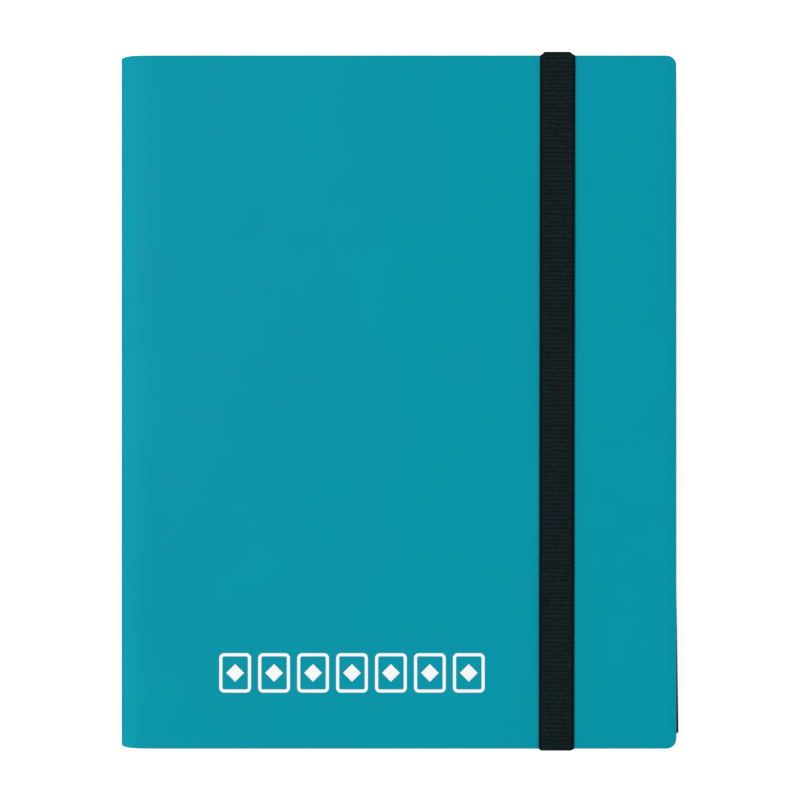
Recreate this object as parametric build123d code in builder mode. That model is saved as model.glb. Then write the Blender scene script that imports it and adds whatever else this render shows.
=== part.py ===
from build123d import *
import os

# A card binder with twenty side-loading pocket pages and an elastic strap, closed and lying on
# its rear cover. All sizes are in millimetres. +Z points out of the front cover, +Y to its head
# and +X to its fore-edge, with the spine at -X. The origin is on the rear face, under the middle.

# Covers: a coloured plastic sheet, a stiff board and a black lining sheet, welded round the edge.
WIDTH = 249.7
HEIGHT = 310.0
THICKNESS = 24.6
SKIN = 0.9
CORE = 1.2
LINER = 0.3
COVER_RIM = 2.5
SPINE_RIM = 1.5
LINER_INSET = 1.0
CORNER_RADIUS = 4.5
BEND_RADIUS = 9.0

# Pages: a black backing sheet with clear pocket film on both sides. Page 1 is under the front cover.
PAGES = 20
PAGE_PITCH = 0.93
BACKING = 0.3
FILM = 0.12
PAGE_HEIGHT = 298.0
PAGE_FORE_X = 124.2
PAGE_CHAMFER = 3.0
POCKET_COLUMNS = 3
COLUMN_PITCH = 76.0
FILM_WIDTH = 74.0
FILM_HEIGHT = 294.0
POCKETS_X = 9.0

# Binding: the pages' inner margins are welded to a plate, closer together than the pages lie. Each
# page folds along its own line, and the lines step outwards to the middle page, so that the pages
# lie on one another when the binder is open too.
STRIP = 0.3
STRIP_HEIGHT = 14.6
ROOT_PLATE = 0.2
ROOT_PITCH = 0.66
ROOT_LENGTH = 1.7
FOLD_STEP = 0.70
FOLD_GAP = 0.35

# Elastic strap, whose flat ends are welded into the head and tail edges of the rear cover.
STRAP_X = 71.3
STRAP_WIDTH = 15.9
STRAP = 1.1
STRAP_GAP = 0.05
STRAP_BEND = 0.9
TAB_LENGTH = 26.0
TAB_CLEARANCE = 0.1

# Printed ornament: a row of blank card outlines, each round a lozenge.
PRINT = 0.06
PRINT_X = -20.2
PRINT_Y = -121.0
PRINT_CARDS = 7
PRINT_PITCH = 17.4
PRINT_WIDTH = 14.2
PRINT_HEIGHT = 17.6
PRINT_RADIUS = 2.2
PRINT_LINE = 1.4
LOZENGE = 5.6

BOARD = SKIN + CORE + LINER
SPINE_X = -WIDTH / 2
COVER_X = SPINE_X + BEND_RADIUS
COVER_WIDTH = WIDTH - BEND_RADIUS
SPINE_HEIGHT = THICKNESS - 2 * BEND_RADIUS
MIDDLE_Z = THICKNESS / 2
STRIP_X = SPINE_X + BOARD
PLATE_X = STRIP_X + STRIP
ROOT_X = PLATE_X + ROOT_PLATE


def save(builder, name):
    """Labels a finished piece and writes it to its own file."""
    builder.part.label = name
    export_step(builder.part, f"parts/{name}.step")


def draw_cover(inset):
    """Draws a cover's outline, square at the spine and rounded at the fore-edge."""
    with Locations((COVER_X + inset, 0)):
        edge = Align.MIN, Align.CENTER
        outline = Rectangle(COVER_WIDTH - 2 * inset, HEIGHT - 2 * inset, align=edge)
    fillet(outline.vertices().group_by(Axis.X)[-1], CORNER_RADIUS - inset)


def cover_skin(face_z, inward):
    """The coloured sheet of a cover, with a rim that stands round the board."""
    with BuildPart() as skin:
        with BuildSketch(Plane.XY.offset(face_z)):
            draw_cover(0)
        extrude(amount=inward * (SKIN + CORE))
        with BuildSketch(Plane.XY.offset(face_z + inward * SKIN)):
            draw_cover(COVER_RIM)
        extrude(amount=inward * CORE, mode=Mode.SUBTRACT)
    return skin


def cover_sheet(face_z, inward, depth, thickness, inset):
    """A board or lining sheet that lies some depth inside a cover's outer face."""
    with BuildPart() as sheet:
        with BuildSketch(Plane.XY.offset(face_z + inward * depth)):
            draw_cover(inset)
        extrude(amount=inward * thickness)
    return sheet


def strap_slots():
    """The room that the two strap ends take up in the rear cover."""
    with BuildPart() as slots:
        with BuildSketch(Plane.XY.offset(SKIN)):
            with Locations((STRAP_X, HEIGHT / 2), (STRAP_X, -HEIGHT / 2)):
                Rectangle(STRAP_WIDTH + 2 * TAB_CLEARANCE, 2 * (TAB_LENGTH + TAB_CLEARANCE))
        extrude(amount=CORE)
    return slots


def spine_sheet(depth, thickness, inset):
    """A board or lining sheet of the spine, measured inwards from its outer face."""
    with BuildPart() as sheet:
        with BuildSketch(Plane.YZ.offset(SPINE_X + depth)):
            with Locations((0, MIDDLE_Z)):
                Rectangle(HEIGHT - 2 * inset, SPINE_HEIGHT - 2 * inset)
        extrude(amount=thickness)
    return sheet


def crease_sheet(centre_z, side, outer, inner):
    """A quarter bend of sheet along one edge of the spine."""
    with BuildPart() as sheet:
        with BuildSketch(Plane.XZ):
            with Locations((COVER_X, centre_z)):
                Circle(outer)
                Circle(inner, mode=Mode.SUBTRACT)
                Rectangle(outer, outer, align=(Align.MAX, side), mode=Mode.INTERSECT)
        extrude(amount=HEIGHT / 2, both=True)
    return sheet


def page_z(number, pitch=PAGE_PITCH):
    """Height of a page's middle plane; page 1 is the highest."""
    return MIDDLE_Z + ((PAGES + 1) / 2 - number) * pitch


def fold_x(number):
    """Where a page folds: the nearer it is to the middle page, the further from the spine."""
    return ROOT_X + ROOT_LENGTH + min(number - 1, PAGES - number) * FOLD_STEP


def page_backing(number):
    """The black sheet of a page, from its fold to the fore-edge."""
    start = fold_x(number) + FOLD_GAP
    with BuildPart() as backing:
        with BuildSketch(Plane.XY.offset(page_z(number) - BACKING / 2)):
            with Locations((start, 0)):
                edge = Align.MIN, Align.CENTER
                sheet = Rectangle(PAGE_FORE_X - start, PAGE_HEIGHT, align=edge)
            chamfer(sheet.vertices().group_by(Axis.X)[-1], PAGE_CHAMFER)
        extrude(amount=BACKING)
    return backing


def page_pockets(number):
    """The clear film of a page's pockets: one strip for each column on both sides."""
    with BuildPart() as pockets:
        for side in (1, -1):
            with BuildSketch(Plane.XY.offset(page_z(number) + side * BACKING / 2)):
                with Locations((POCKETS_X, 0)):
                    with GridLocations(COLUMN_PITCH, 0, POCKET_COLUMNS, 1):
                        Rectangle(FILM_WIDTH, FILM_HEIGHT)
            extrude(amount=side * FILM)
    return pockets


def page_roots():
    """The inner margins of all the pages, fanning out from the plate that they are welded to."""
    half = BACKING / 2
    with BuildPart() as roots:
        with BuildSketch(Plane.XZ):
            with Locations((PLATE_X, MIDDLE_Z)):
                plate_height = (PAGES - 1) * ROOT_PITCH + BACKING
                Rectangle(ROOT_PLATE, plate_height, align=(Align.MIN, Align.CENTER))
            for number in range(1, PAGES + 1):
                root_z, end_z = page_z(number, ROOT_PITCH), page_z(number)
                root = (ROOT_X, root_z + half), (ROOT_X, root_z - half)
                end = (fold_x(number), end_z - half), (fold_x(number), end_z + half)
                Polygon(*root, *end, align=None)
        extrude(amount=PAGE_HEIGHT / 2, both=True)
    return roots


def binding_strip():
    """The strip that joins the pages' plate to the spine's lining."""
    with BuildPart() as strip:
        with BuildSketch(Plane.YZ.offset(STRIP_X)):
            with Locations((0, MIDDLE_Z)):
                Rectangle(PAGE_HEIGHT, STRIP_HEIGHT)
        extrude(amount=STRIP)
    return strip


def elastic_strap():
    """The free run of the strap: up the tail edge, along the front cover and down the head edge."""
    inside = HEIGHT / 2 + STRAP_GAP
    top = THICKNESS + STRAP_GAP
    with BuildPart() as strap:
        with BuildSketch(Plane.YZ.offset(STRAP_X)):
            with Locations((0, SKIN)):
                edge = Align.CENTER, Align.MIN
                band = Rectangle(2 * (inside + STRAP), top + STRAP - SKIN, align=edge)
            fillet(band.vertices().group_by(Axis.Z)[-1], STRAP_BEND)
            with Locations((0, SKIN)):
                Rectangle(2 * inside, top - SKIN, align=edge, mode=Mode.SUBTRACT)
        extrude(amount=STRAP_WIDTH / 2, both=True)
    return strap


def strap_end_tabs():
    """The flat strap ends between the rear cover's skin and lining."""
    with BuildPart() as tabs:
        with BuildSketch(Plane.XY.offset(SKIN)):
            with Locations((STRAP_X, HEIGHT / 2 - TAB_LENGTH / 2), (STRAP_X, TAB_LENGTH / 2 - HEIGHT / 2)):
                Rectangle(STRAP_WIDTH, TAB_LENGTH)
        extrude(amount=STRAP)
    return tabs


def cover_print():
    """The printed row of card outlines on the front cover."""
    line = 2 * PRINT_LINE
    with BuildPart() as marks:
        with BuildSketch(Plane.XY.offset(THICKNESS)):
            with Locations((PRINT_X, PRINT_Y)):
                with GridLocations(PRINT_PITCH, 0, PRINT_CARDS, 1):
                    RectangleRounded(PRINT_WIDTH, PRINT_HEIGHT, PRINT_RADIUS)
                    inner = PRINT_WIDTH - line, PRINT_HEIGHT - line, PRINT_RADIUS - PRINT_LINE
                    RectangleRounded(*inner, mode=Mode.SUBTRACT)
                    Rectangle(LOZENGE, LOZENGE, rotation=45)
        extrude(amount=PRINT)
    return marks


os.makedirs("parts", exist_ok=True)

with BuildPart() as rear_skin:
    add(cover_skin(0, 1).part)
    add(strap_slots().part, mode=Mode.SUBTRACT)
save(rear_skin, "rear_skin")
with BuildPart() as rear_core:
    add(cover_sheet(0, 1, SKIN, CORE, COVER_RIM).part)
    add(strap_slots().part, mode=Mode.SUBTRACT)
save(rear_core, "rear_core")
save(cover_sheet(0, 1, SKIN + CORE, LINER, LINER_INSET), "rear_liner")
save(strap_end_tabs(), "strap_end_tabs")

save(cover_skin(THICKNESS, -1), "front_skin")
save(cover_sheet(THICKNESS, -1, SKIN, CORE, COVER_RIM), "front_core")
save(cover_sheet(THICKNESS, -1, SKIN + CORE, LINER, LINER_INSET), "front_liner")
save(cover_print(), "cover_print")

with BuildPart() as spine_skin:
    add(spine_sheet(0, SKIN + CORE, 0).part)
    add(spine_sheet(SKIN, CORE, SPINE_RIM).part, mode=Mode.SUBTRACT)
save(spine_skin, "spine_skin")
save(spine_sheet(SKIN, CORE, SPINE_RIM), "spine_core")
save(spine_sheet(SKIN + CORE, LINER, 0), "spine_liner")

for end, centre_z, side in (
    ("front", THICKNESS - BEND_RADIUS, Align.MIN),
    ("rear", BEND_RADIUS, Align.MAX),
):
    inner_radius = BEND_RADIUS - SKIN
    save(crease_sheet(centre_z, side, BEND_RADIUS, inner_radius), f"{end}_hinge_web")
    save(crease_sheet(centre_z, side, inner_radius, inner_radius - LINER), f"{end}_hinge_liner")

save(binding_strip(), "binding_strip")
save(page_roots(), "page_roots")
for number in range(1, PAGES + 1):
    save(page_backing(number), f"page_{number:02d}_backing")
    save(page_pockets(number), f"page_{number:02d}_pockets")

save(elastic_strap(), "elastic_strap")
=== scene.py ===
"""How the card binder looks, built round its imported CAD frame. All lengths are in metres."""

import math
import random

import bmesh
import bpy
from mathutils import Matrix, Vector


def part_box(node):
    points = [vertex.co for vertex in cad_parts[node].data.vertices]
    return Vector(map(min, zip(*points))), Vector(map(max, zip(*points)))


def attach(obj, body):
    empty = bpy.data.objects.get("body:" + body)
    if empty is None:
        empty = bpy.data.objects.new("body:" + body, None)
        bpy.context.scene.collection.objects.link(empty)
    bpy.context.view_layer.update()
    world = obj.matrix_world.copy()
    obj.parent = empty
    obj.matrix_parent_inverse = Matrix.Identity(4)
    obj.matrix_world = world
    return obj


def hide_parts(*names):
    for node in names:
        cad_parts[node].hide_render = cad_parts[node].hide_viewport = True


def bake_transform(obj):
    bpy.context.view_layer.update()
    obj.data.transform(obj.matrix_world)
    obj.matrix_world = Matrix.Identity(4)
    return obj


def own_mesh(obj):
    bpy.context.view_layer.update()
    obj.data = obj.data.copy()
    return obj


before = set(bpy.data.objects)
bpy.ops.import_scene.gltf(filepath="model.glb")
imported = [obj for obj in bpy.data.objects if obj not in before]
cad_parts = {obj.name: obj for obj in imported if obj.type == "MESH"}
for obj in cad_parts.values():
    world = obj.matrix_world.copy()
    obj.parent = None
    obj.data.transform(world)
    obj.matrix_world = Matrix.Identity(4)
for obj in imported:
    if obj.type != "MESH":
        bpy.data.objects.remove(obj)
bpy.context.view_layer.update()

MM = 0.001
HEAD, TAIL = 1, -1
FRONT, REAR = 1, -1

# The frame's own sizes. The binder lies closed on its rear cover, with its spine at -X.
spine_low, spine_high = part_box("spine_skin")
cover_low, cover_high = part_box("front_skin")
core_low, core_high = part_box("front_core")
liner_low, liner_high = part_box("front_liner")
strap_low, strap_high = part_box("elastic_strap")
tab_low, tab_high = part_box("strap_end_tabs")
roots_low, roots_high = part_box("page_roots")

SPINE_X = spine_low.x
COVER_X = cover_low.x
FORE_X = cover_high.x
HALF_HEIGHT = cover_high.y
THICKNESS = cover_high.z
MIDDLE = THICKNESS / 2
SKIN = cover_high.z - core_high.z
CORE = core_high.z - core_low.z
LINER = liner_high.z - liner_low.z
COVER_RIM = cover_high.y - core_high.y
LINER_INSET = cover_high.y - liner_high.y
SPINE_RIM = spine_high.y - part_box("spine_core")[1].y
CORNER = 4.5 * MM

# A cover's outer face, unrolled: u runs from the middle of the spine to the fore-edge.
BEND = COVER_X - SPINE_X
SPINE_END = MIDDLE - BEND
COVER_START = SPINE_END + BEND * math.pi / 2
COVER_END = COVER_START + FORE_X - COVER_X
SCORE = COVER_START + 2.5 * MM
SCORE_WIDTH = 0.35 * MM
SCORE_DEPTH = 0.05 * MM
SHOULDER = 9.0 * MM
SHOULDER_DROP = 0.12 * MM
STRIP_SLOPE = 0.085
INNER_ROUND = 0.25 * MM

# Sheets.
EDGE_ROUND = 0.4 * MM
EDGE_STEPS = 4
CORNER_STEPS = 8
WELD_INSET = 3.0 * MM
WELD_WIDTH = 0.9 * MM
WELD_DEPTH = 0.1 * MM
WELD_RAMP = 0.15 * MM
SLOT_CLEARANCE = 0.1 * MM
SLOT_STEP = 0.02 * MM
MERGE = 0.001 * MM
SHARP = math.radians(40)

# How the meshes map their surfaces for the materials. CUT_EDGE marks a sheet's cut edges.
FILM_MAP = "from_mouth_and_foot"
EDGE_MAP = "cut_edges"
STRAP_MAP = "ribs_and_across"
CUT_EDGE = 1.0

# Pages.
PAGES = 20
PLATE = 0.2 * MM
PLATE_MARGIN = 0.15 * MM
PLATE_RIDGES = 0.2
ROOT_PITCH = 0.66 * MM
FOLD_GAP = 0.35 * MM
FOLD_REACH = 1.5 * MM
PAGE_CORNER = 1.2 * MM
PAGE_ROUND = 0.06 * MM
COLUMNS = 3
ROWS = 3
COLUMN_PITCH = 76.0 * MM
FILM_WIDTH = 74.0 * MM
FILM_CLEARANCE = 0.01 * MM
POCKET_CROWN = 0.08 * MM
CROWN_RISE = 8.0 * MM
SEAM = 0.8 * MM
DASH = 0.8 * MM
MARGIN_WELD = 5.0 * MM
MARGIN_RIDGE = 0.1 * MM
RIDGE_WIDTH = 0.4 * MM
RIDGE_REACH = 0.9 * MM

# Pages down to MOST_SKEWED are skewed by SKEW_TOP, and from SETTLED_BELOW down by a share of it.
SKEW_TOP = 2.3 * MM
SKEW_SETTLED = 0.25
MOST_SKEWED = 3
SETTLED_BELOW = 15

# Strap.
STRAP_X = (strap_low.x + strap_high.x) / 2
STRAP_WIDTH = strap_high.x - strap_low.x
STRAP = tab_high.z - tab_low.z
STRAP_STEP = 0.35 * MM
RIB_PITCH = 1.82 * MM
RIB_HEIGHT = 0.11 * MM
MOST_RIBS = 400
SELVEDGE = 1.3 * MM
STRAP_SLANT = 0.28 * MM
STRAP_TRIM = 0.2 * MM
STRAP_GAP = 0.05 * MM
FOOT_LAPS = (0.5 * MM, 0.2 * MM)
FOOT_TURN = 0.45 * MM
TOP_TURN = 1.15 * MM
# Over the edges the band is thinner, narrower, and a little loose at the head.
STRAP_THIN = 0.22
STRAP_LOOSE = {HEAD: 0.85 * MM, TAIL: 0.0}
STRAP_NARROWS = {HEAD: 3.4 * MM, TAIL: 1.5 * MM}
# How thick the band still is at its edges, and how far in it reaches its full thickness.
EDGE_THICKNESS = 0.45
EDGE_TAPER = 0.6 * MM

# Studio: the world's brightness is a product of soft steps up the sky (start, end, low, high). It
# is darker straight overhead, where a camera would hang, and below, so that sides are shaded.
SKY_STEPS = ((-0.25, -0.12, 0.2, 1.1), (0.1, 0.3, 1.0, 0.53), (0.7, 0.95, 1.0, 0.5))
FLOOR_SIZE = 40.0
FLOOR_DROP = 0.5 * MM
CAMERA_X, CAMERA_Y, CAMERA_RISE = 1.25 * MM, 0.7 * MM, 600 * MM
# Blender takes these two in millimetres.
SENSOR_WIDTH, LENS = 36.0, 60.35


def spread(start, end, steps):
    """Evenly spaced values from start to end, both included."""
    return [start + (end - start) * step / steps for step in range(steps + 1)]


def smooth(value):
    """A soft step from 0 to 1 as value goes from 0 to 1."""
    value = min(1.0, max(0.0, value))
    return value * value * (3 - 2 * value)


def finished(name, bm, material):
    """Turns a closed bmesh into a smooth object with sharp corners, in its material slot."""
    bmesh.ops.recalc_face_normals(bm, faces=bm.faces)
    mesh = bpy.data.meshes.new(name)
    bm.to_mesh(mesh)
    bm.free()
    mesh.polygons.foreach_set("use_smooth", [True] * len(mesh.polygons))
    mesh.set_sharp_from_angle(angle=SHARP)
    mesh.materials.append(material)
    made = bpy.data.objects.new(name, mesh)
    bpy.context.scene.collection.objects.link(made)
    return made


def outline(us, ys, half, corner, inset):
    """A sheet's outline some way inside its edge: along the head, the fore-edge and the tail."""
    radius = corner - inset
    turn = [math.pi / 2 * step / CORNER_STEPS for step in range(1, CORNER_STEPS)]
    straight, level = us[-1], half - corner
    points = [(u, half - inset) for u in us]
    points += [(straight + radius * math.sin(a), level + radius * math.cos(a)) for a in turn]
    points += [(straight + radius, y) for y in reversed(ys)]
    points += [(straight + radius * math.cos(a), -level - radius * math.sin(a)) for a in turn]
    points += [(u, inset - half) for u in reversed(us)]
    return points


def sheet(us, ys, half, corner, rings, place):
    """A closed sheet. Its rings go from one face round the edge to the other, and place puts an
    unrolled point at a ring's depth."""
    bm = bmesh.new()
    loops = []
    for ring in rings:
        points = outline(us, ys, half, corner, ring[0])
        loops.append([bm.verts.new(place(u, y, ring)) for u, y in points])
    for one, other in zip(loops, loops[1:]):
        for step in range(len(one) - 1):
            bm.faces.new((one[step], one[step + 1], other[step + 1], other[step]))
    for ring in (rings[0], rings[-1]):
        rows = [[bm.verts.new(place(u, y, ring)) for y in ys] for u in us]
        for row, following in zip(rows, rows[1:]):
            for step in range(len(ys) - 1):
                bm.faces.new((row[step], row[step + 1], following[step + 1], following[step]))
    bmesh.ops.remove_doubles(bm, verts=bm.verts, dist=MERGE)
    bmesh.ops.holes_fill(bm, edges=bm.edges, sides=0)
    return bm


def rounded_edge(radius):
    """Inset and depth along a rounded edge, from the face to the side."""
    turn = [math.pi / 2 * step / EDGE_STEPS for step in range(EDGE_STEPS + 1)]
    return [(radius * (1 - math.sin(a)), radius * (1 - math.cos(a))) for a in turn]


# Covers


def outer_face(u):
    """Place in the XZ plane and outward direction on the front half's outer face."""
    if u < SPINE_END:
        return (SPINE_X, MIDDLE + u), (-1.0, 0.0)
    if u < COVER_START:
        angle = (u - SPINE_END) / BEND
        side, up = math.cos(angle), math.sin(angle)
        return (COVER_X - BEND * side, THICKNESS - BEND + BEND * up), (-side, up)
    return (COVER_X + u - COVER_START, THICKNESS), (0.0, 1.0)


def face_dip(u):
    """How far the outer face sinks beside the scored line where the board begins."""
    past = (u - SCORE) / SHOULDER
    dip = SHOULDER_DROP * max(0.0, 1 - past) ** 2 if past > 0 else SHOULDER_DROP
    dip += STRIP_SLOPE * max(0.0, SCORE - u)
    dip *= smooth((u - SPINE_END - BEND / 3) / (COVER_START - SPINE_END - BEND / 3))
    return dip + SCORE_DEPTH * math.exp(-(((u - SCORE) / SCORE_WIDTH) ** 2))


def board_share(u):
    """1 where a board lies between the skin and the lining, and 0 in the bend."""
    spine = 1 - smooth((u - SPINE_END + SPINE_RIM) / SPINE_RIM)
    return spine + smooth((u - COVER_START) / COVER_RIM)


def cover_stations():
    """Where the cover's mesh is cut along u and along y."""
    us = spread(0, SPINE_END - SPINE_RIM, 2) + spread(SPINE_END - SPINE_RIM, SPINE_END, 4)[1:]
    us += spread(SPINE_END, COVER_START, 24)[1:]
    us += spread(COVER_START, SCORE - 2 * SCORE_WIDTH, 5)[1:]
    us += spread(SCORE - 2 * SCORE_WIDTH, SCORE + 2 * SCORE_WIDTH, 8)[1:]
    us += spread(SCORE + 2 * SCORE_WIDTH, SCORE + SHOULDER, 8)[1:]
    us += spread(SCORE + SHOULDER, COVER_END - CORNER, 12)[1:]
    ys = spread(CORNER - HALF_HEIGHT, HALF_HEIGHT - CORNER, 16)
    return us, ys


def cover_skin(name, half, material):
    """The coloured sheet of half the spine, one bend and one cover, with a rim round the board."""
    us, ys = cover_stations()
    strap_u = COVER_START + STRAP_X - COVER_X
    slot_half = STRAP_WIDTH / 2 + SLOT_CLEARANCE
    if half == REAR:
        sides = [strap_u + side * (slot_half + step) for side in (-1, 1) for step in (0, SLOT_STEP)]
        us = sorted(us + sides)

    def place(u, y, ring):
        inset, depth, share = ring
        in_slot = half == REAR and abs(u - strap_u) <= slot_half and abs(y) > HALF_HEIGHT - CORNER
        board = 0.0 if in_slot else board_share(u)
        (x, z), (out_x, out_z) = outer_face(u)
        depth += face_dip(u) + share * CORE * board
        x, z = x - out_x * depth, z - out_z * depth
        return Vector((x, y, z if half == FRONT else THICKNESS - z))

    rings = [(CORNER, 0.0, 0.0)]
    rings += [(inset, depth, 0.0) for inset, depth in rounded_edge(EDGE_ROUND)]
    rings += [(inset, SKIN - depth, 1.0) for inset, depth in reversed(rounded_edge(INNER_ROUND))]
    rings += [(COVER_RIM, SKIN, 1.0), (COVER_RIM, SKIN, 0.0), (CORNER, SKIN, 0.0)]
    bm = sheet(us, ys, HALF_HEIGHT, CORNER, rings, place)
    return finished(name, bm, material)


def cover_lining(name, half, material):
    """The black sheet inside half the spine, one bend and one cover, welded round its edge."""
    us, ys = cover_stations()

    def place(u, y, ring):
        (x, z), (out_x, out_z) = outer_face(u)
        depth = ring[1] + SKIN + CORE * board_share(u)
        x, z = x - out_x * depth, z - out_z * depth
        return Vector((x, y, z if half == FRONT else THICKNESS - z))

    weld_in, weld_out = WELD_INSET + WELD_WIDTH / 2, WELD_INSET - WELD_WIDTH / 2
    rings = [(CORNER, LINER), (weld_in + WELD_RAMP, LINER), (weld_in, LINER - WELD_DEPTH)]
    rings += [(weld_out, LINER - WELD_DEPTH), (weld_out - WELD_RAMP, LINER)]
    rings += [(LINER_INSET + WELD_RAMP / 2, LINER), (LINER_INSET, LINER - WELD_RAMP / 2)]
    rings += [(LINER_INSET, 0.0), (CORNER, 0.0)]
    bm = sheet(us, ys, HALF_HEIGHT, CORNER, rings, place)
    return finished(name, bm, material)


def bend_with_cover(piece, half):
    """Bakes a sheet's placement into its mesh, the same way for either half."""
    if half == FRONT:
        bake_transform(piece)
    else:
        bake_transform(piece)


def make_covers(plastic, lining):
    """Both halves of the coloured outside and of the black lining."""
    front = cover_skin("front_cover_and_spine_skin", FRONT, plastic)
    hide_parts("front_skin", "front_hinge_web", "spine_skin")
    rear = cover_skin("rear_cover_and_spine_skin", REAR, plastic)
    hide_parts("rear_skin", "rear_hinge_web")
    front_lining = cover_lining("front_cover_and_spine_lining", FRONT, lining)
    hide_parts("front_liner", "front_hinge_liner", "spine_liner")
    rear_lining = cover_lining("rear_cover_and_spine_lining", REAR, lining)
    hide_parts("rear_liner", "rear_hinge_liner")
    for piece, half in ((front, FRONT), (front_lining, FRONT), (rear, REAR), (rear_lining, REAR)):
        bend_with_cover(piece, half)


# Pages


def page_skew(number):
    """How far a page's tail corner stands out and its head corner in: most for the top pages."""
    settled = smooth((number - MOST_SKEWED) / (SETTLED_BELOW - MOST_SKEWED))
    share = 1 - (1 - SKEW_SETTLED) * settled
    uneven = 1.0 if number <= MOST_SKEWED else random.Random(number).uniform(0.8, 1.0)
    return SKEW_TOP * share * uneven


def skewed(x, y, skew):
    """An x moved as the page is skewed, more and more towards the fore-edge."""
    return x - skew * smooth((x - COVER_X) / (FORE_X - COVER_X)) * y / HALF_HEIGHT


def page_sheet(number, material):
    """A page's black sheet, from the plate that it is welded to, over its fold, to the fore-edge."""
    low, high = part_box(f"page_{number:02d}_backing")
    half_thickness = (high.z - low.z) / 2
    page_z = (low.z + high.z) / 2
    root_z = MIDDLE + ((PAGES + 1) / 2 - number) * ROOT_PITCH
    root_x = roots_low.x + PLATE
    fold_x = low.x - FOLD_GAP
    skew = page_skew(number)
    fold, end = fold_x - root_x, high.x - root_x
    weld = fold + MARGIN_WELD

    def place(u, y, ring):
        x = root_x + u
        share = min(1.0, u / fold)
        ridge = MARGIN_RIDGE * math.exp(-(((u - weld) / RIDGE_WIDTH) ** 2))
        z = root_z + (page_z - root_z) * share + half_thickness - ring[1] + ridge
        return Vector((skewed(x, y, skew), y, z))

    us = spread(0, fold - FOLD_REACH, 2) + spread(fold - FOLD_REACH, fold + FOLD_REACH, 12)[1:]
    us += spread(weld - RIDGE_REACH, weld + RIDGE_REACH, 6)
    us += spread(weld + 3 * MM, end - PAGE_CORNER, 10)
    ys = spread(PAGE_CORNER - high.y, high.y - PAGE_CORNER, 12)
    thickness = 2 * half_thickness
    rings = [(PAGE_CORNER, 0.0), (PAGE_ROUND, 0.0), (0.0, PAGE_ROUND)]
    rings += [(0.0, thickness - PAGE_ROUND), (PAGE_ROUND, thickness), (PAGE_CORNER, thickness)]
    bm = sheet(us, ys, high.y, PAGE_CORNER, rings, place)
    bm.normal_update()
    uv_layer = bm.loops.layers.uv.new(EDGE_MAP)
    for face in bm.faces:
        for loop in face.loops:
            loop[uv_layer].uv = (0.0 if abs(face.normal.z) > 0.5 else CUT_EDGE, 0.0)
    made = finished(f"page_{number:02d}_sheet", bm, material)
    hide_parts(f"page_{number:02d}_backing")
    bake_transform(made)


def slab(bm, us, vs, top, bottom):
    """Adds a thin closed slab between two surfaces over a grid, and maps it by u and v. Its cut
    edges are mapped CUT_EDGE further along u."""
    mapped, layers = {}, []
    for surface in (top, bottom):
        rows = [[bm.verts.new(surface(u, v)) for v in vs] for u in us]
        mapped.update({vert: (u, v) for row, u in zip(rows, us) for vert, v in zip(row, vs)})
        layers.append(rows)
    faces, sides = [], []
    for rows in layers:
        for row, after in zip(rows, rows[1:]):
            for step in range(len(vs) - 1):
                faces.append((row[step], row[step + 1], after[step + 1], after[step]))
    rims = []
    for rows in layers:
        rim = [row[0] for row in rows] + rows[-1][1:]
        rims.append(rim + [row[-1] for row in rows[-2::-1]] + rows[0][-2:0:-1])
    upper, lower = rims
    for step in range(len(upper)):
        after = (step + 1) % len(upper)
        sides.append((upper[step], upper[after], lower[after], lower[step]))
    uv_layer = bm.loops.layers.uv.verify()
    for corner_lists, shift in ((faces, 0.0), (sides, CUT_EDGE)):
        for corners in corner_lists:
            for loop in bm.faces.new(corners).loops:
                u, v = mapped[loop.vert]
                loop[uv_layer].uv = (u + shift, v)


def page_film(number, material):
    """The clear pocket film on both sides of a page: it is welded down on three sides of each
    pocket, and the side towards the spine is the open mouth."""
    low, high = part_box(f"page_{number:02d}_pockets")
    backing_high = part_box(f"page_{number:02d}_backing")[1]
    middle_x, page_z = (low.x + high.x) / 2, (low.z + high.z) / 2
    film = high.z - backing_high.z
    on_backing = backing_high.z - page_z + FILM_CLEARANCE
    row_height = 2 * high.y / ROWS
    skew = page_skew(number)
    us = [0.0, 2 * MM] + spread(6 * MM, FILM_WIDTH - CROWN_RISE, 6)
    us += [FILM_WIDTH - 3 * MM, FILM_WIDTH - SEAM, FILM_WIDTH]
    vs = [0.0, SEAM, 3 * MM] + spread(CROWN_RISE, row_height - CROWN_RISE, 5)
    vs += [row_height - 3 * MM, row_height - SEAM, row_height]
    bm = bmesh.new()
    bm.loops.layers.uv.new(FILM_MAP)

    def surface(mouth, foot, side, height):
        def place(u, v):
            along = (v - SEAM) / (row_height - 2 * SEAM)
            crown = max(0.0, 1 - abs(2 * along - 1) ** 4)
            crown *= smooth((FILM_WIDTH - SEAM - u) / CROWN_RISE)
            x = skewed(mouth + u, foot + v, skew)
            z = page_z + side * (on_backing + height + POCKET_CROWN * crown)
            return Vector((x, foot + v, z))

        return place

    for side in (1, -1):
        for column in range(COLUMNS):
            mouth = middle_x + (column - (COLUMNS - 1) / 2) * COLUMN_PITCH - FILM_WIDTH / 2
            for row in range(ROWS):
                foot = row * row_height - high.y
                top = surface(mouth, foot, side, film - FILM_CLEARANCE)
                slab(bm, us, vs, top, surface(mouth, foot, side, 0.0))
    made = finished(f"page_{number:02d}_film", bm, material)
    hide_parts(f"page_{number:02d}_pockets")
    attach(made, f"page_{number:02d}")


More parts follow.
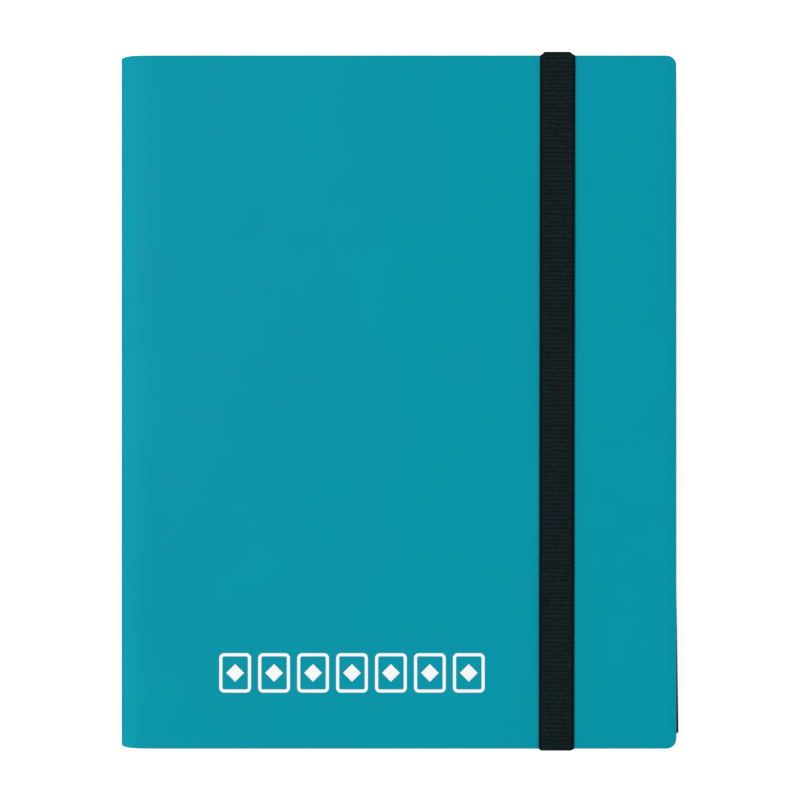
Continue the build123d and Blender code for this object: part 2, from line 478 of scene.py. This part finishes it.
def page_plate(material):
    """The plate that the pages' inner margins are welded to, with a ridge along each weld."""
    bm = bmesh.new()
    height = (PAGES - 1) * ROOT_PITCH / 2 + PLATE_MARGIN
    us = spread(MIDDLE - height, MIDDLE + height, 4 * PAGES)
    vs = spread(-roots_high.y, roots_high.y, 24)
    back = roots_low.x

    def ridged(z, y):
        ridge = math.cos((z - MIDDLE) / ROOT_PITCH * 2 * math.pi)
        return Vector((back + PLATE * (1 - PLATE_RIDGES + PLATE_RIDGES * ridge), y, z))

    slab(bm, us, vs, ridged, lambda z, y: Vector((back, y, z)))
    made = finished("page_binding_plate", bm, material)
    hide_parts("page_roots")
    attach(made, "spine")


def make_pages(sheet_material, film_material):
    """Twenty pages and the plate that holds them."""
    for number in range(1, PAGES + 1):
        page_sheet(number, sheet_material)
        page_film(number, film_material)
    page_plate(sheet_material)


# Strap


def strap_half(end):
    """Half of the strap's middle line, from its foot at one end of the binder to the middle of the
    run: places and outward directions in the YZ plane."""
    side_y = HALF_HEIGHT + STRAP_GAP + STRAP * (1 - STRAP_THIN) / 2
    run_z = strap_high.z - STRAP / 2
    foot_z = (tab_low.z + tab_high.z) / 2
    top_y = side_y + STRAP_LOOSE[end]
    low_z, high_z = foot_z + FOOT_TURN, run_z - TOP_TURN
    line = [((tab_high.y - lap, foot_z), (0.0, -1.0)) for lap in FOOT_LAPS]
    for a in spread(0, math.pi / 2, 6)[:-1]:
        out, down = math.sin(a), math.cos(a)
        line.append(((side_y - FOOT_TURN * (1 - out), low_z - FOOT_TURN * down), (out, -down)))
    steps = round((high_z - low_z) / STRAP_STEP)
    for step in range(steps):
        lean = STRAP_LOOSE[end] * smooth(step / steps)
        line.append(((side_y + lean, low_z + (high_z - low_z) * step / steps), (1.0, 0.0)))
    for a in spread(0, math.pi / 2, 8)[:-1]:
        out, up = math.cos(a), math.sin(a)
        line.append(((top_y - TOP_TURN * (1 - out), high_z + TOP_TURN * up), (out, up)))
    run = top_y - TOP_TURN
    steps = round(run / STRAP_STEP)
    line += [((run * (1 - step / steps), run_z), (0.0, 1.0)) for step in range(steps)]
    return [((end * y, z), (end * out, up)) for (y, z), (out, up) in line]


def strap_path():
    """The strap's whole middle line, from the head over the front cover to the tail."""
    return strap_half(HEAD) + strap_half(TAIL)[::-1]


def strap_section(width):
    """Where a section across the strap has its points: close at the selvedges, wide between."""
    edge = width / 2
    selvedge = [x - edge for x in (0.0, 0.25 * MM, 0.8 * MM, SELVEDGE - 0.15 * MM)]
    ribbed = spread(SELVEDGE - edge, edge - SELVEDGE, 8)
    return selvedge + ribbed + [-x for x in reversed(selvedge)]


def strap_ring(place, out, rib, rib_height):
    """One section round the band: points, each with its share of the way across."""
    (y, z), (out_y, out_z) = place, out
    end = HEAD if y > 0 else TAIL
    over_edge = smooth((abs(y) - HALF_HEIGHT + 0.5 * MM) / (1.5 * MM))
    width = STRAP_WIDTH - STRAP_TRIM - STRAP_NARROWS[end] * over_edge
    thickness = STRAP * (1 - STRAP_THIN * over_edge)
    crest = (0.5 - 0.5 * math.cos(2 * math.pi * rib)) ** 1.3
    middle = STRAP_X + STRAP_SLANT * y / HALF_HEIGHT
    top, bottom = [], []
    for x in strap_section(width):
        from_edge = width / 2 - abs(x)
        woven = smooth((from_edge - SELVEDGE + 0.4 * MM) / (0.5 * MM))
        full = EDGE_THICKNESS + (1 - EDGE_THICKNESS) * smooth(from_edge / EDGE_TAPER)
        lift = full * thickness / 2 - RIB_HEIGHT + rib_height * crest * woven
        for points, side in ((top, 1), (bottom, -1)):
            point = (middle + x, y + side * out_y * lift, z + side * out_z * lift)
            points.append((Vector(point), x / width + 0.5))
    return top + bottom[::-1]


def elastic_strap(material):
    """The ribbed elastic band, a little narrower and rounder where it goes over the edges."""
    bm = bmesh.new()
    uv_layer = bm.loops.layers.uv.new(STRAP_MAP)
    chance = random.Random(7)
    rib_heights = [RIB_HEIGHT * chance.uniform(0.5, 1.2) for _ in range(MOST_RIBS)]
    rings, along, before = [], 0.0, None
    for place, out in strap_path():
        if before is not None:
            along += math.dist(before, place)
        before = place
        rib = along / RIB_PITCH
        # The ribs aren't quite evenly spaced.
        rib += 0.12 * math.sin(rib * 0.9) + 0.07 * math.sin(rib * 2.3)
        ring = strap_ring(place, out, rib, rib_heights[int(rib) + 1])
        rings.append([(bm.verts.new(point), (rib, across)) for point, across in ring])
    for one, other in zip(rings, rings[1:]):
        for step in range(len(one)):
            after = (step + 1) % len(one)
            corners = (one[step], one[after], other[after], other[step])
            face = bm.faces.new([vert for vert, _ in corners])
            for loop, (_, mapped) in zip(face.loops, corners):
                loop[uv_layer].uv = mapped
    for ring in (rings[0], rings[-1]):
        bm.faces.new([vert for vert, _ in ring])
    made = finished("ribbed_strap", bm, material)
    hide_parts("elastic_strap")
    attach(made, "strap")
    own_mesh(made)


# Materials


def feed(tree, socket, value):
    """Gives an input a value or another node's output."""
    if isinstance(value, bpy.types.NodeSocket):
        tree.links.new(value, socket)
    else:
        socket.default_value = value


def node(tree, kind, inputs=None, **settings):
    """Adds a node. An input is a value or another node's output."""
    made = tree.nodes.new(kind)
    for name, value in settings.items():
        setattr(made, name, value)
    for name, value in (inputs or {}).items():
        feed(tree, made.inputs[name], value)
    return made


def shades(tree, factor, dark, light, low=0.3, high=0.7):
    """A colour that goes from dark to light as factor goes from low to high."""
    ramp = node(tree, "ShaderNodeValToRGB", {"Fac": factor})
    ramp.color_ramp.elements[0].position = low
    ramp.color_ramp.elements[0].color = (*dark, 1)
    ramp.color_ramp.elements[1].position = high
    ramp.color_ramp.elements[1].color = (*light, 1)
    return ramp.outputs["Color"]


def noise(tree, place, scale, detail=2.0, roughness=0.5):
    """A noise pattern whose size is about 1 / scale metres."""
    inputs = {"Vector": place, "Scale": scale, "Detail": detail, "Roughness": roughness}
    return node(tree, "ShaderNodeTexNoise", inputs).outputs["Fac"]


def scaled(tree, value, low, high):
    """A value from 0 to 1 mapped to a range."""
    inputs = {"Value": value, "To Min": low, "To Max": high}
    return node(tree, "ShaderNodeMapRange", inputs).outputs["Result"]


def stretched(tree, place, scale):
    """A place scaled along each axis, for grain that runs one way."""
    return node(tree, "ShaderNodeMapping", {"Vector": place, "Scale": scale}).outputs["Vector"]


def maths(tree, operation, *values):
    """One step of arithmetic on values or other nodes' outputs."""
    made = node(tree, "ShaderNodeMath", operation=operation)
    for socket, value in zip(made.inputs, values):
        feed(tree, socket, value)
    return made.outputs[0]


def rest_of(tree, share):
    """What is left of 1."""
    return maths(tree, "SUBTRACT", 1.0, share)


def mixed(tree, share, one, other):
    """One colour turning into another as share goes from 0 to 1."""
    made = node(tree, "ShaderNodeMix", data_type="RGBA")
    for name, value in (("Factor_Float", share), ("A_Color", one), ("B_Color", other)):
        tree.links.new(value, next(socket for socket in made.inputs if socket.identifier == name))
    return next(socket for socket in made.outputs if socket.identifier == "Result_Color")


def mixed_shader(tree, share, one, other):
    """One shader turning into another as share goes from 0 to 1."""
    made = node(tree, "ShaderNodeMixShader", {"Fac": share})
    tree.links.new(one, made.inputs[1])
    tree.links.new(other, made.inputs[2])
    return made.outputs[0]


def mapped_place(tree, name):
    """The two numbers that a piece's mesh maps its surface by."""
    mapped = node(tree, "ShaderNodeUVMap", uv_map=name).outputs["UV"]
    parts = node(tree, "ShaderNodeSeparateXYZ", {"Vector": mapped})
    return parts.outputs["X"], parts.outputs["Y"]


def bump(tree, height, strength, distance, under=None):
    """A bump of the surface, on top of another one if given."""
    inputs = {"Height": height, "Strength": strength, "Distance": distance}
    if under is not None:
        inputs["Normal"] = under
    return node(tree, "ShaderNodeBump", inputs).outputs["Normal"]


def new_material(name):
    """A node material: it, its tree, its principled shader and the place in the object's frame."""
    made = bpy.data.materials.new(name)
    made.use_nodes = True
    tree = made.node_tree
    shader = tree.nodes["Principled BSDF"]
    place = node(tree, "ShaderNodeTexCoord").outputs["Object"]
    return made, tree, shader, place


def connect(tree, shader, **values):
    """Sets the shader's inputs, named with underscores for spaces."""
    for name, value in values.items():
        feed(tree, shader.inputs[name.replace("_", " ")], value)


def cover_plastic():
    """Matte teal plastic sheet: fine leather-like grain and very faint unevenness."""
    made, tree, shader, place = new_material("cover_plastic")
    cloud = noise(tree, place, scale=22, detail=3)
    colour = shades(tree, cloud, dark=(0.0, 0.304, 0.398), light=(0.0, 0.316, 0.414))
    grain = noise(tree, place, scale=2600, detail=3, roughness=0.6)
    uneven = bump(tree, noise(tree, place, scale=30, detail=1), strength=0.3, distance=0.12 * MM)
    normal = bump(tree, grain, strength=0.25, distance=0.03 * MM, under=uneven)
    rough = scaled(tree, grain, low=0.46, high=0.62)
    connect(tree, shader, Base_Color=colour, Roughness=rough, Normal=normal)
    connect(tree, shader, Specular_IOR_Level=0.055)
    return made


def lining_plastic():
    """Black lining sheet with a fine pebbled grain."""
    made, tree, shader, place = new_material("lining_plastic")
    grain = node(tree, "ShaderNodeTexVoronoi", {"Vector": place, "Scale": 1300}).outputs["Distance"]
    cloud = noise(tree, place, scale=60, detail=4)
    colour = shades(tree, cloud, dark=(0.0075, 0.0078, 0.0085), light=(0.012, 0.0125, 0.0135))
    normal = bump(tree, grain, strength=0.5, distance=0.05 * MM)
    rough = scaled(tree, cloud, low=0.45, high=0.6)
    connect(tree, shader, Base_Color=colour, Roughness=rough, Normal=normal)
    return made


def card_board():
    """Grey-brown board of pressed fibres."""
    made, tree, shader, place = new_material("board_fibres")
    across = stretched(tree, place, (1.0, 6.0, 1.0))
    fibres = noise(tree, across, scale=900, detail=5, roughness=0.7)
    colour = shades(tree, fibres, dark=(0.25, 0.22, 0.17), light=(0.42, 0.38, 0.31))
    normal = bump(tree, fibres, strength=0.5, distance=0.05 * MM)
    connect(tree, shader, Base_Color=colour, Roughness=0.9, Normal=normal)
    return made


def print_ink():
    """White screen-printed ink, slightly uneven where it lies on the grain."""
    made, tree, shader, place = new_material("print_ink")
    grain = noise(tree, place, scale=2600, detail=3, roughness=0.6)
    colour = shades(tree, grain, dark=(0.93, 0.95, 0.95), light=(1.0, 1.0, 1.0))
    normal = bump(tree, grain, strength=0.2, distance=0.02 * MM)
    rough = scaled(tree, grain, low=0.4, high=0.55)
    connect(tree, shader, Base_Color=colour, Roughness=rough, Normal=normal)
    return made


def page_plastic():
    """Black page sheet: satin, with the fine lines of rolled plastic, and greyer where it is cut."""
    made, tree, shader, place = new_material("page_plastic")
    lines = noise(tree, stretched(tree, place, (1.0, 0.04, 1.0)), scale=1500, detail=3)
    cloud = noise(tree, place, scale=25, detail=3)
    face_colour = shades(tree, cloud, dark=(0.0065, 0.0068, 0.0075), light=(0.0105, 0.011, 0.012))
    nicks = noise(tree, place, scale=300, detail=3)
    cut_colour = shades(tree, nicks, dark=(0.02, 0.021, 0.022), light=(0.05, 0.051, 0.053))
    cut, _ = mapped_place(tree, EDGE_MAP)
    colour = mixed(tree, cut, face_colour, cut_colour)
    normal = bump(tree, lines, strength=0.25, distance=0.02 * MM)
    rough = scaled(tree, lines, low=0.34, high=0.46)
    connect(tree, shader, Base_Color=colour, Roughness=rough, Normal=normal)
    return made


def film_welds(tree, across, up):
    """1 where a pocket is welded, and 1 where the dashes of its welds press the film down."""
    film_low, film_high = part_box("page_01_pockets")
    row_height = (film_high.y - film_low.y) / ROWS
    from_row = maths(tree, "PINGPONG", up, row_height / 2)
    from_side = maths(tree, "SUBTRACT", FILM_WIDTH, across)
    welded = maths(tree, "LESS_THAN", maths(tree, "MINIMUM", from_row, from_side), SEAM)
    dash = maths(tree, "PINGPONG", maths(tree, "ADD", across, up), DASH)
    pressed = maths(tree, "MULTIPLY", welded, maths(tree, "GREATER_THAN", dash, DASH / 2))
    return welded, pressed


def film_mirror(tree, place, welded, pressed):
    """The film's mirroring over what is behind it, and its normal. Only the outside of the film
    mirrors, and the welds less than the rest."""
    waves = noise(tree, stretched(tree, place, (1.0, 0.35, 1.0)), scale=34, detail=1)
    wavy = bump(tree, waves, strength=0.5, distance=0.3 * MM)
    normal = bump(tree, rest_of(tree, pressed), strength=0.3, distance=0.02 * MM, under=wavy)
    fresnel = node(tree, "ShaderNodeFresnel", {"IOR": 1.45, "Normal": normal}).outputs["Fac"]
    outside = rest_of(tree, node(tree, "ShaderNodeNewGeometry").outputs["Backfacing"])
    gloss = maths(tree, "MULTIPLY", outside, maths(tree, "MULTIPLY_ADD", welded, -0.7, 1.0))
    clear = node(tree, "ShaderNodeBsdfTransparent", {"Color": (1, 1, 1, 1)}).outputs[0]
    polished = {"Color": (1, 1, 1, 1), "Roughness": 0.18, "Normal": normal}
    mirror = node(tree, "ShaderNodeBsdfAnisotropic", polished).outputs[0]
    return mixed_shader(tree, maths(tree, "MULTIPLY", fresnel, gloss), clear, mirror), normal


def pocket_film():
    """Clear glossy film: it mirrors, has a faint haze, and is welded down in rows of dashes."""
    made, tree, shader, place = new_material("pocket_film")
    across, up = mapped_place(tree, FILM_MAP)
    cut = maths(tree, "GREATER_THAN", across, CUT_EDGE / 2)
    welded, pressed = film_welds(tree, across, up)
    pressed = maths(tree, "MULTIPLY", pressed, rest_of(tree, cut))
    film, normal = film_mirror(tree, place, welded, pressed)
    scuffs = scaled(tree, noise(tree, place, scale=110, detail=4), low=0.003, high=0.013)
    haze = maths(tree, "MULTIPLY_ADD", pressed, 0.16, scuffs)
    haze = maths(tree, "MULTIPLY_ADD", cut, 0.2, haze)
    connect(tree, shader, Base_Color=(0.62, 0.66, 0.68, 1), Roughness=0.5, Normal=normal)
    hazy = mixed_shader(tree, haze, film, shader.outputs[0])
    tree.links.new(hazy, tree.nodes["Material Output"].inputs["Surface"])
    return made


def strap_weave():
    """Black elastic: ribs of covered rubber, with painted shade darkening the grooves between them
    and a painted highlight on the rib tops, and plain selvedges.
    """
    made, tree, shader, place = new_material("strap_weave")
    rib, across = mapped_place(tree, STRAP_MAP)
    wander = scaled(tree, noise(tree, place, scale=330, detail=2), low=-0.45, high=0.45)
    crest = maths(tree, "PINGPONG", maths(tree, "ADD", rib, wander), 0.5)
    uneven = noise(tree, place, scale=520, detail=3, roughness=0.7)
    threads = noise(tree, place, scale=2600, detail=2)
    from_edge = {"Value": maths(tree, "PINGPONG", across, 0.5), "From Min": 0.05, "From Max": 0.09}
    woven = node(tree, "ShaderNodeMapRange", from_edge).outputs["Result"]
    # Painted shade and highlight: the colour is darkest in the grooves between ribs and lightest on
    # the rib tops, where light falls. ridge is the painted highlight colour of the rib tops.
    shade = maths(tree, "MULTIPLY", maths(tree, "MULTIPLY_ADD", crest, 1.1, 0.25), uneven)
    shade = maths(tree, "MULTIPLY", shade, woven)
    painted_groove_shade, ridge = (0.0020, 0.0036, 0.0038), (0.0056, 0.0205, 0.0225)
    colour = shades(tree, shade, dark=painted_groove_shade, light=ridge, low=0.1, high=0.5)
    lumpy = bump(tree, uneven, strength=0.4, distance=0.06 * MM)
    normal = bump(tree, threads, strength=0.6, distance=0.08 * MM, under=lumpy)
    connect(tree, shader, Base_Color=colour, Roughness=0.8, Normal=normal, Specular_IOR_Level=0.1)
    return made


def floor_white():
    """The studio's white floor, which glows a little so that it stays white round the object."""
    made, tree, shader, place = new_material("studio_floor")
    cloud = noise(tree, place, scale=3, detail=2)
    colour = shades(tree, cloud, dark=(0.80, 0.80, 0.80), light=(0.82, 0.82, 0.82))
    connect(tree, shader, Base_Color=colour, Roughness=0.9, Specular_IOR_Level=0.0)
    connect(tree, shader, Emission_Color=(1, 1, 1, 1), Emission_Strength=0.7)
    return made


def dress(material, *names):
    """Gives kept CAD nodes their material."""
    for name in names:
        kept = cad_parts[name]
        kept.data.materials.clear()
        kept.data.materials.append(material)


# Studio


def make_floor():
    """A wide floor just under the object."""
    bm = bmesh.new()
    bmesh.ops.create_grid(bm, x_segments=4, y_segments=4, size=FLOOR_SIZE)
    mesh = bpy.data.meshes.new("floor")
    bm.to_mesh(mesh)
    bm.free()
    floor = bpy.data.objects.new("floor", mesh)
    floor.location.z = -FLOOR_DROP
    floor.data.materials.append(floor_white())
    bpy.context.scene.collection.objects.link(floor)
    floor.visible_diffuse = False
    floor.visible_glossy = False


def area_light(name, place, aim, size, power):
    """A large soft square light."""
    light = bpy.data.lights.new(name, "AREA")
    light.shape = "SQUARE"
    light.size = size
    light.energy = power
    lamp = bpy.data.objects.new(name, light)
    lamp.location = place
    lamp.rotation_mode = "QUATERNION"
    lamp.rotation_quaternion = (Vector(aim) - Vector(place)).to_track_quat("-Z", "Y")
    bpy.context.scene.collection.objects.link(lamp)


def surroundings():
    """A white studio round the object, as bright in each direction as SKY_STEPS makes it."""
    world = bpy.data.worlds.new("studio")
    world.use_nodes = True
    tree = world.node_tree
    direction = node(tree, "ShaderNodeTexCoord").outputs["Generated"]
    up = node(tree, "ShaderNodeSeparateXYZ", {"Vector": direction}).outputs["Z"]
    strength = None
    for start, end, low, high in SKY_STEPS:
        step = {"Value": up, "From Min": start, "From Max": end, "To Min": low, "To Max": high}
        made = node(tree, "ShaderNodeMapRange", step, interpolation_type="SMOOTHSTEP")
        factor = made.outputs["Result"]
        strength = factor if strength is None else maths(tree, "MULTIPLY", strength, factor)
    connect(tree, tree.nodes["Background"], Strength=strength, Color=(1, 1, 1, 1))
    bpy.context.scene.world = world


def make_light():
    """Even white surroundings, and a soft light from the spine side."""
    surroundings()
    bpy.context.scene.view_settings.view_transform = "Standard"
    area_light("spine_side_light", place=(-1.7, 0.5, 3.0), aim=(0, 0, 0), size=1.6, power=65.5)


def make_camera():
    """The camera looks straight down on the front cover, with the head at the top."""
    data = bpy.data.cameras.new("camera")
    data.sensor_width = SENSOR_WIDTH
    data.lens = LENS
    camera = bpy.data.objects.new("camera", data)
    camera.location = (CAMERA_X, CAMERA_Y, THICKNESS + CAMERA_RISE)
    bpy.context.scene.collection.objects.link(camera)
    bpy.context.scene.camera = camera


page_material = page_plastic()
strap_material = strap_weave()
make_covers(cover_plastic(), lining_plastic())
make_pages(page_material, pocket_film())
elastic_strap(strap_material)
dress(card_board(), "front_core", "rear_core", "spine_core")
dress(print_ink(), "cover_print")
dress(page_material, "binding_strip")
dress(strap_material, "strap_end_tabs")
make_floor()
make_light()
make_camera()
